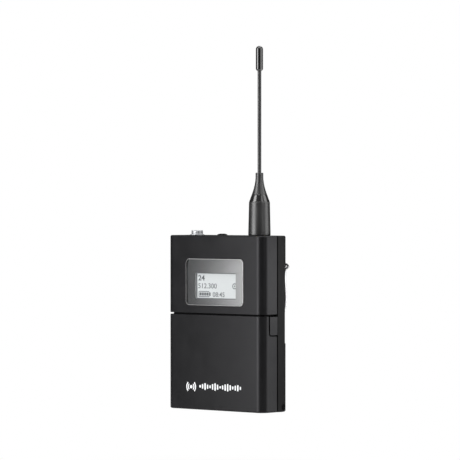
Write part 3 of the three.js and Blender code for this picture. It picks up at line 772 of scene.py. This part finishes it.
BATTERY_LEVEL, BAR_START, BAR_PITCH = 56.4, -10.98, 1.55
sign = band(
    bmesh.new(), rounded_rect(-8.65, BATTERY_LEVEL, 7.2, 2.9, 0.5, 3),
    rounded_rect(-8.65, BATTERY_LEVEL, 6.5, 2.2, 0.2, 3), SIGN_FRONT, SIGN_BACK,
)
prism(sign, rounded_rect(-4.6, BATTERY_LEVEL, 0.75, 1.7, 0.15, 2), SIGN_FRONT, SIGN_BACK)
for i in range(4):
    bar = rounded_rect(BAR_START + BAR_PITCH * i, BATTERY_LEVEL, 1.3, 1.5, 0.1, 1)
    prism(sign, bar, SIGN_FRONT, SIGN_BACK)
finished("display_battery_sign", sign, "paper_white", "case", mat=INK_PAPER)

STATUS = (11.65, 60.5)
sign = band(bmesh.new(), circle(*STATUS, 1.45), circle(*STATUS, 1.05), SIGN_FRONT, SIGN_BACK)
prism(sign, circle(*STATUS, 0.4, 20), SIGN_FRONT, SIGN_BACK)
finished("display_status_sign", sign, "paper_white", "case", mat=INK_PAPER)


# ---------------------------------------------------------------- print on the cover
PRINT_FRONT, PRINT_BACK = -10.035, -9.99
RADIO = (-15.4, 11.05)  # a dot between two pairs of waves
WAVE_START, WAVE_PITCH, WAVE_LEVEL = -9.4, 1.67, 11.45
WAVE_BARS = (1.3, 2.3, 3.4, 2.1, 1.4, 2.7, 3.6, 2.5, 1.2, 2.0, 3.1, 3.7, 2.6, 1.5, 2.4, 3.0, 1.6)

ink = prism(bmesh.new(), circle(*RADIO, 0.85, 24), PRINT_FRONT, PRINT_BACK)
for middle in (0, math.pi):
    for inner in (1.55, 2.65):
        outline = arc_band(*RADIO, inner, inner + 0.6, middle, spread=46)
        prism(ink, outline, PRINT_FRONT, PRINT_BACK)
for i, tall in enumerate(WAVE_BARS):
    outline = rounded_rect(WAVE_START + WAVE_PITCH * i, WAVE_LEVEL, 0.9, tall, 0.35, 3)
    prism(ink, outline, PRINT_FRONT, PRINT_BACK)
finished("cover_print", ink, "white_plastic", "cover", mat=INK_WHITE)


# ---------------------------------------------------------------- antenna, as (radius, height) profiles
AERIAL = centre_axis(20.6)
BOOT_FOOT, BOOT_FLARE, BOOT_NECK = 104.9, 8.6, 1.87
DOME_RADIUS, DOME_LEVEL = 1.75, 174.95


def antenna_part(name, node, slot, profile, ease, sides=72, mat=None, body="antenna"):
    finished(name, turned(AERIAL, eased(profile, ease), sides), slot, body, (node,), mat)


antenna_part("aerial_collar", "antenna_collar", "rubber_black", [
    (4.3, 85.05), (5.25, 85.05), (5.42, 85.5), (5.05, 101.15), (4.93, 101.4), (0, 101.4), (0, 92.3),
    (4.3, 92.3),
], 0.08)
antenna_part("aerial_cone", "antenna_ring", "gloss_black", [
    (1.1, 101.38), (4.93, 101.38), (4.83, 101.8), (4.42, 102.85), (4.08, 103.9), (3.66, 104.91),
    (1.1, 104.91),
], 0.08, mat=RING)
flare = [(BOOT_NECK + 1.82 * (1 - i / 16) ** 1.8, BOOT_FOOT + BOOT_FLARE * i / 16) for i in range(17)]
antenna_part("aerial_boot", "antenna_boot", "rubber_black", [
    (0.95, BOOT_FOOT), *flare, (BOOT_NECK, 115.2), (1.7, 115.4), (0.95, 115.4),
], 0.12)
antenna_part("aerial_whip", "antenna_whip", "rubber_black", [
    (0, 101.5), (0.9, 101.5), (0.9, 166), (0, 166),
], 0.05, 32, WHIP)
dome = arc(0, DOME_LEVEL, DOME_RADIUS, 0, math.pi / 2, 12)[:-1]
antenna_part("aerial_tip", "antenna_tip", "gloss_black", [
    (0, 166.1), (0.95, 166.1), (0.95, 164.7), (1.3, 164.7), (DOME_RADIUS, 165.4), *dome,
    (0, DOME_LEVEL + DOME_RADIUS),
], 0.12, 48, TIP)
antenna_part("aerial_seal", "antenna_o_ring", "rubber_black", [
    (3.25, 85.05), (4.15, 85.05), (4.15, 85.4), (3.25, 85.4),
], 0.15, body="antenna_seal")
antenna_part("aerial_nut", "antenna_ferrule", "brass", [
    (0, 86.5), (0.4, 86.5), (0.4, 91.2), (3.25, 91.2), (3.25, 85.45), (4.25, 85.45), (4.25, 92.2),
    (0, 92.2),
], 0.15)
socket = turned(AERIAL, [
    (1.9, 80.8), (4.4, 80.8), (4.4, 82.2), *wall(3.1, 82.2, 90.2, step=0.12), (2.8, 90.5), (1.9, 90.5),
], 48, threaded(85.6, 90.1, radius=3.1, pitch=0.7, depth=0.3))
finished("aerial_socket", socket, "brass", "case", ("antenna_socket",))


# ---------------------------------------------------------------- jack and slider
jack = turned(centre_axis(-20.8), [
    (1.8, 79.6), *wall(3.0, 79.6, 85.05, step=0.6), (3.5, 85.05), (3.5, 85.36), (3.4, 85.4),
    (2.82, 85.42), *wall(2.8, 85.45, 87.1, step=0.06), (2.74, 87.24), (2.6, 87.32), (2.3, 87.35),
    (2.1, 87.34), (1.85, 87.2), (1.8, 87.1),
], 80, threaded(85.5, 87.1, radius=2.8, pitch=0.5, depth=0.015))
finished("jack_barrel", jack, "chrome", "case", ("jack_sleeve",), smooth=50)

CROWN_RIGHT, CROWN_MIDDLE, CROWN_HALF = -1.7, -3.9, 2.2
CROWN_HEIGHT, CROWN_DROP, CROWN_STEP, GROOVE = 85.82, 0.42, 0.2, 0.2
THUMB_HALF, FOOT_HALF = 1.2, 2.2  # half depths
outline = [(-6.1, 81.3), (CROWN_RIGHT, 81.3)]
for i in range(23):  # a low crown with five grooves across it
    x = CROWN_RIGHT - CROWN_STEP * i
    cut = GROOVE if i % 4 == 3 else 0.0
    outline.append((x, CROWN_HEIGHT - CROWN_DROP * ((x - CROWN_MIDDLE) / CROWN_HALF) ** 2 - cut))
thumb = prism(bmesh.new(), outline, -THUMB_HALF, THUMB_HALF)
for x in (-7.7 + 0.8, -1.7 + 0.8):
    prism(thumb, rounded_rect(x, 81.75, 1.6, 0.9, 0.15, 2), -FOOT_HALF, FOOT_HALF)
finished("mute_thumb", thumb, "case_black", "mute", ("mute_slider",), smooth=25)


# ---------------------------------------------------------------- belt clip, pins, springs and screws
half = [
    (24.4, 11.9, 70.9), (26.3, 11.9, 70.95), (27.9, 11.9, 71.0), (28.85, 11.9, 70.6), (28.5, 11.9, 69.8),
    (27.1, 12, 68.9), (26.2, 12.1, 65.5), (26.4, 12.5, 55), (26.2, 12.5, 51), (25, 12, 46.5),
    (21.5, 11.8, 38), (16.8, 11.5, 28.5), (12.6, 11.6, 22.5), (7, 12.8, 18.6), (0, 13.5, 17.4),
]
path = smooth_path(half + [(-x, y, z) for x, y, z in reversed(half[:-1])], per_span=7)
finished("clip_wire", swept(path, radius=0.6, sides=18), "steel", "clip", ("belt_clip",), WIRE)

PIN = eased([
    (0, 24.3), (1, 24.3), (1, 30.45), (1.4, 30.45), (1.4, 31.3), (1.15, 31.55), (0.6, 31.65), (0, 31.65),
], 0.1)
HINGE = (5.2, 2.4)  # the cover's hinge line, as y and z
COIL_STEPS, COIL_TURNS, COIL_RADIUS, COIL_LENGTH = 96, 2.5, 1.2, 1.5
COIL_START, COIL_DEPTH, COIL_LEVEL = 26.25, -1.9, 41.3
for name, side in (("left", -1), ("right", 1)):
    pin = turned(side_axis(*HINGE, side), PIN, 40)
    finished("pin_" + name, pin, "frame_black", "case", ("hinge_pin_" + name,))
    coil = []
    for i in range(COIL_STEPS + 1):
        angle = i * math.pi * (2 * COIL_TURNS) / COIL_STEPS
        coil.append((
            side * (COIL_START + COIL_LENGTH * i / COIL_STEPS),
            COIL_DEPTH + COIL_RADIUS * math.cos(angle),
            COIL_LEVEL + COIL_RADIUS * math.sin(angle),
        ))
    spring = swept(coil, radius=0.18, sides=8)
    finished("latch_coil_" + name, spring, "steel", "case", ("latch_spring_" + name,))
SCREW_FACE = 8.9
for i in range(1, 5):
    screw = ease_edges(
        cad_copy(f"case_screw_{i}"), 0.12, lambda edge: max(v.co.y for v in edge.verts) > SCREW_FACE,
    )
    finished(f"screw_{i}", screw, "steel", "case", (f"case_screw_{i}",), smooth=30)


# ---------------------------------------------------------------- power
CONTACT_X, CONTACT_GAP, CELL_LENGTH = 27.4, 0.45, 50.5
CELL_START = CONTACT_X - CONTACT_GAP - CELL_LENGTH
CAN = eased([
    (0, 0), (6.2, 0), (7.0, 0.7), (7.0, 48.4), (6.2, 49.1), (2.7, 49.1), (2.7, 50.3), (2.4, CELL_LENGTH),
    (0, CELL_LENGTH),
], 0.3)
SLEEVE = [
    (6.1, 0.1), (6.9, 0.35), (7.15, 0.9), (7.15, 48.3), (6.95, 48.75), (6.2, 49.2), (5.6, 49.2),
    (5.6, 49.12), (6.2, 49.12), (6.9, 48.6), (7.02, 48.3), (7.02, 0.9), (6.8, 0.5), (6.1, 0.2),
]
SPRING_STEPS, SPRING_TURNS, SPRING_START, SPRING_LENGTH = 120, 2.5, 26.6, 2.55
SPRING_WIDE, SPRING_TAPER = 3.9, 1.6
for name, side, z in (("lower", 1, 10.2), ("upper", -1, 25.3)):
    place = side_axis(0, z, side, CELL_START)
    finished(f"cell_{name}_can", turned(place, CAN), "steel", "case", (f"battery_cell_{name}",))
    finished(f"cell_{name}_sleeve", turned(place, SLEEVE), "cell_wrap", "case")
    coil = []
    for i in range(SPRING_STEPS + 1):
        t = i / SPRING_STEPS
        r, angle = SPRING_WIDE - SPRING_TAPER * t, 2 * math.pi * SPRING_TURNS * t
        x = -side * (SPRING_START - SPRING_LENGTH * t)
        coil.append((x, r * math.cos(angle), z + r * math.sin(angle)))
    spring = swept(coil, radius=0.33, sides=10)
    finished(f"coil_{name}", spring, "steel", "case", (f"contact_spring_{name}",))
STUD = eased([(0, 0.12), (1.45, 0.12), (1.45, 1.6), (0, 1.6)], 0.2)
for name, x in (("left", -8), ("right", 8)):
    stud = turned(centre_axis(x, 6), STUD, 40)
    finished("charge_stud_" + name, stud, "gold", "case", ("charge_pad_" + name,))


# ---------------------------------------------------------------- control strip
STRIP_FACE, CAP_FACE = -6.1, -6.9
strip = ease_edges(cad_copy("control_panel"), 0.15, ahead_of(STRIP_FACE))
finished("control_strip", strip, "frame_black", "case", ("control_panel",))
KEY_SIGN_FRONT, KEY_SIGN_BACK = -7.03, -6.99
KEY_LEVEL = 39.4
for name, x in (("power", -17), ("down", -5.2), ("up", 4.2), ("set", 16.2)):
    cap = ease_edges(cad_copy(name + "_button"), 0.22, ahead_of(CAP_FACE), steps=3)
    finished(name + "_cap", cap, "button_grey", name + "_key", (name + "_button",))
    if name == "power":
        outlines = (
            arc_band(x, KEY_LEVEL - 0.1, 1.05, 1.4, -math.pi / 2, spread=140),
            rounded_rect(x, KEY_LEVEL + 0.8, 0.36, 1.5, 0.15, 2),
        )
    elif name == "set":
        outlines = (
            arc_band(x, KEY_LEVEL, 1.0, 1.35, math.radians(150), spread=150),
            circle(x, KEY_LEVEL, 0.45, 18),
        )
    else:
        tip = 1.0 if name == "up" else -1.0
        foot = KEY_LEVEL - 0.8 * tip
        outlines = ([(x - 1.3, foot), (x + 1.3, foot), (x, KEY_LEVEL + 1.1 * tip)],)
    sign = bmesh.new()
    for outline in outlines:
        prism(sign, outline, KEY_SIGN_FRONT, KEY_SIGN_BACK)
    finished(name + "_sign", sign, "white_plastic", name + "_key", mat=INK_WHITE)


# ---------------------------------------------------------------- label on the back
LABEL = (0, 51)
LABEL_OUT, LABEL_IN = -9.82, -9.55
INK_OUT, INK_IN = -9.84, -9.8
LINE_TOP, LINE_PITCH = 60.5, 4.4
SIGN_LEVEL = 41.8
label = prism(bmesh.new(), rounded_rect(*LABEL, 33.4, 29.4, 1.8), LABEL_OUT, LABEL_IN, back, ease=0.06)
finished("rear_label", label, "frame_black", "case", mat=INK_GREY)
ink = bmesh.new()
for outer, inner in (
    (rounded_rect(*LABEL, 31.6, 27.6, 1.2), rounded_rect(*LABEL, 31.0, 27.0, 0.9)),
    (rounded_rect(-8, SIGN_LEVEL, 9, 4, 0.8, 3), rounded_rect(-8, SIGN_LEVEL, 8.3, 3.3, 0.5, 3)),
):
    band(ink, outer, inner, INK_OUT, INK_IN, back)
for x, z, width, height in (
    *((0, LINE_TOP - LINE_PITCH * i, 27, 0.3) for i in range(4)),  # blank writing lines
    (-10, SIGN_LEVEL, 1.8, 0.4), (-5.8, SIGN_LEVEL, 1.8, 0.4), (-5.8, SIGN_LEVEL, 0.4, 1.8),  # - and +
):
    prism(ink, rounded_rect(x, z, width, height, 0.1, 1), INK_OUT, INK_IN, back)
finished("rear_label_print", ink, "white_plastic", "case", mat=INK_WHITE)


# ---------------------------------------------------------------- stage, light and camera
def softbox(name, place, aim, width, height, radiance):
    """A rectangular soft light in metres; radiance is what a mirror would see."""
    light = bpy.data.lights.new(name, "AREA")
    light.shape, light.size, light.size_y = "RECTANGLE", width, height
    light.energy = radiance * math.pi * width * height
    lamp = bpy.data.objects.new(name, light)
    bpy.context.scene.collection.objects.link(lamp)
    lamp.location = place
    lamp.rotation_euler = (Vector(aim) - Vector(place)).to_track_quat("-Z", "Y").to_euler()
    lamp.visible_camera = False


softbox("front_left_box", (-0.058, -0.21, 0.06), (0.005, 0.0, 0.065), 0.14, 0.53, 4.9)
softbox("right_box", (0.122, 0.066, 0.085), (0.03, -0.004, 0.07), 0.075, 0.3, 2.1)
softbox("side_patch_box", (0.09, 0.098, 0.06), (0.031, 0.006, 0.06), 0.05, 0.035, 1.7)
softbox("upper_right_box", (0.4, -0.08, 0.26), (0.02, 0.0, 0.11), 0.12, 0.36, 1.9)
softbox("high_front_box", (0.1, -0.32, 0.9), (0.0, 0.0, 0.05), 0.5, 0.4, 3.4)
softbox("high_back_box", (-0.1, 0.42, 0.75), (0.0, 0.0, 0.05), 0.5, 0.4, 3.0)
softbox("high_right_box", (0.4, 0.1, 0.85), (0.0, 0.0, 0.05), 0.4, 0.4, 1.8)
softbox("high_left_box", (-0.4, 0.0, 0.85), (0.0, 0.0, 0.05), 0.4, 0.4, 1.5)

# A dim world, brighter towards the top; white where the camera sees it.
WORLD_DIM, WORLD_TOP = 0.04, 0.24
world = bpy.data.worlds.new("studio")
bpy.context.scene.world = world
world.use_nodes = True
tree = world.node_tree
tree.nodes.clear()
seen = add(tree, "LightPath").outputs["Is Camera Ray"]
up = add(tree, "SeparateXYZ", {0: add(tree, "TexCoord").outputs["Generated"]}).outputs["Z"]
level = remap(tree, up, -0.1, 0.9, WORLD_DIM, WORLD_TOP, smooth=True)
strength = math_node(tree, "MAXIMUM", level, seen)
background = add(tree, "Background", {"Color": WHITE, "Strength": strength})
add(tree, "OutputWorld", {"Surface": background})

# The floor is white where seen, save for a faint painted shadow near the pack, and matt grey for its
# light.
FLOOR_TOP, FLOOR_THICK, FLOOR_RADIUS = -30, 2, 2500
SHADE_REACH, SHADE_LEVEL, SPECKLE_SIZE = 0.09, 0.8, 30.0
mat, tree = start("pale_floor")
seen = add(tree, "LightPath").outputs["Is Camera Ray"]
# painted shadow: ambient occlusion dims the floor's glow near the pack
near = add(tree, "AmbientOcclusion", {"Distance": SHADE_REACH}, samples=8).outputs["AO"]
glow_with_painted_shadow = remap(tree, near, 0.35, 1.0, SHADE_LEVEL, 1.0)
lit = add(tree, "Emission", {"Color": WHITE, "Strength": glow_with_painted_shadow})
grain = noise(tree, millimetres(tree), SPECKLE_SIZE)
speckle = mix_colour(tree, grain, (0.5, 0.5, 0.5), (0.54, 0.54, 0.54))
matt = add(tree, "BsdfDiffuse", {"Color": speckle})
done(tree, add(tree, "MixShader", {0: seen, 1: matt, 2: lit}))
bm = prism(
    bmesh.new(), circle(0, 0, FLOOR_RADIUS, 96), FLOOR_TOP - FLOOR_THICK, FLOOR_TOP,
    lambda a, b, h: (a, b, h),
)
bmesh.ops.recalc_face_normals(bm, faces=bm.faces)
bmesh.ops.scale(bm, vec=(MM, MM, MM), verts=bm.verts)
floor_mesh = bpy.data.meshes.new("studio_floor")
bm.to_mesh(floor_mesh)
bm.free()
floor_mesh.materials.append(mat)
floor = bpy.data.objects.new("studio_floor", floor_mesh)
bpy.context.scene.collection.objects.link(floor)

# The camera is a fit to the photo's corners and edges.
LENS, SENSOR = 260.17, 36.0
CAMERA_PLACE = (1.10367, -1.18629, 0.10315)
CAMERA_AIM = Vector((-0.680728, 0.732474, -0.009599))
camera_data = bpy.data.cameras.new("camera")
camera_data.lens, camera_data.sensor_width = LENS, SENSOR
camera_data.clip_start, camera_data.clip_end = 0.05, 20.0
camera = bpy.data.objects.new("camera", camera_data)
bpy.context.scene.collection.objects.link(camera)
camera.location = CAMERA_PLACE
camera.rotation_euler = CAMERA_AIM.to_track_quat("-Z", "Y").to_euler()
bpy.context.scene.camera = camera
bpy.context.scene.view_settings.view_transform = "Standard"
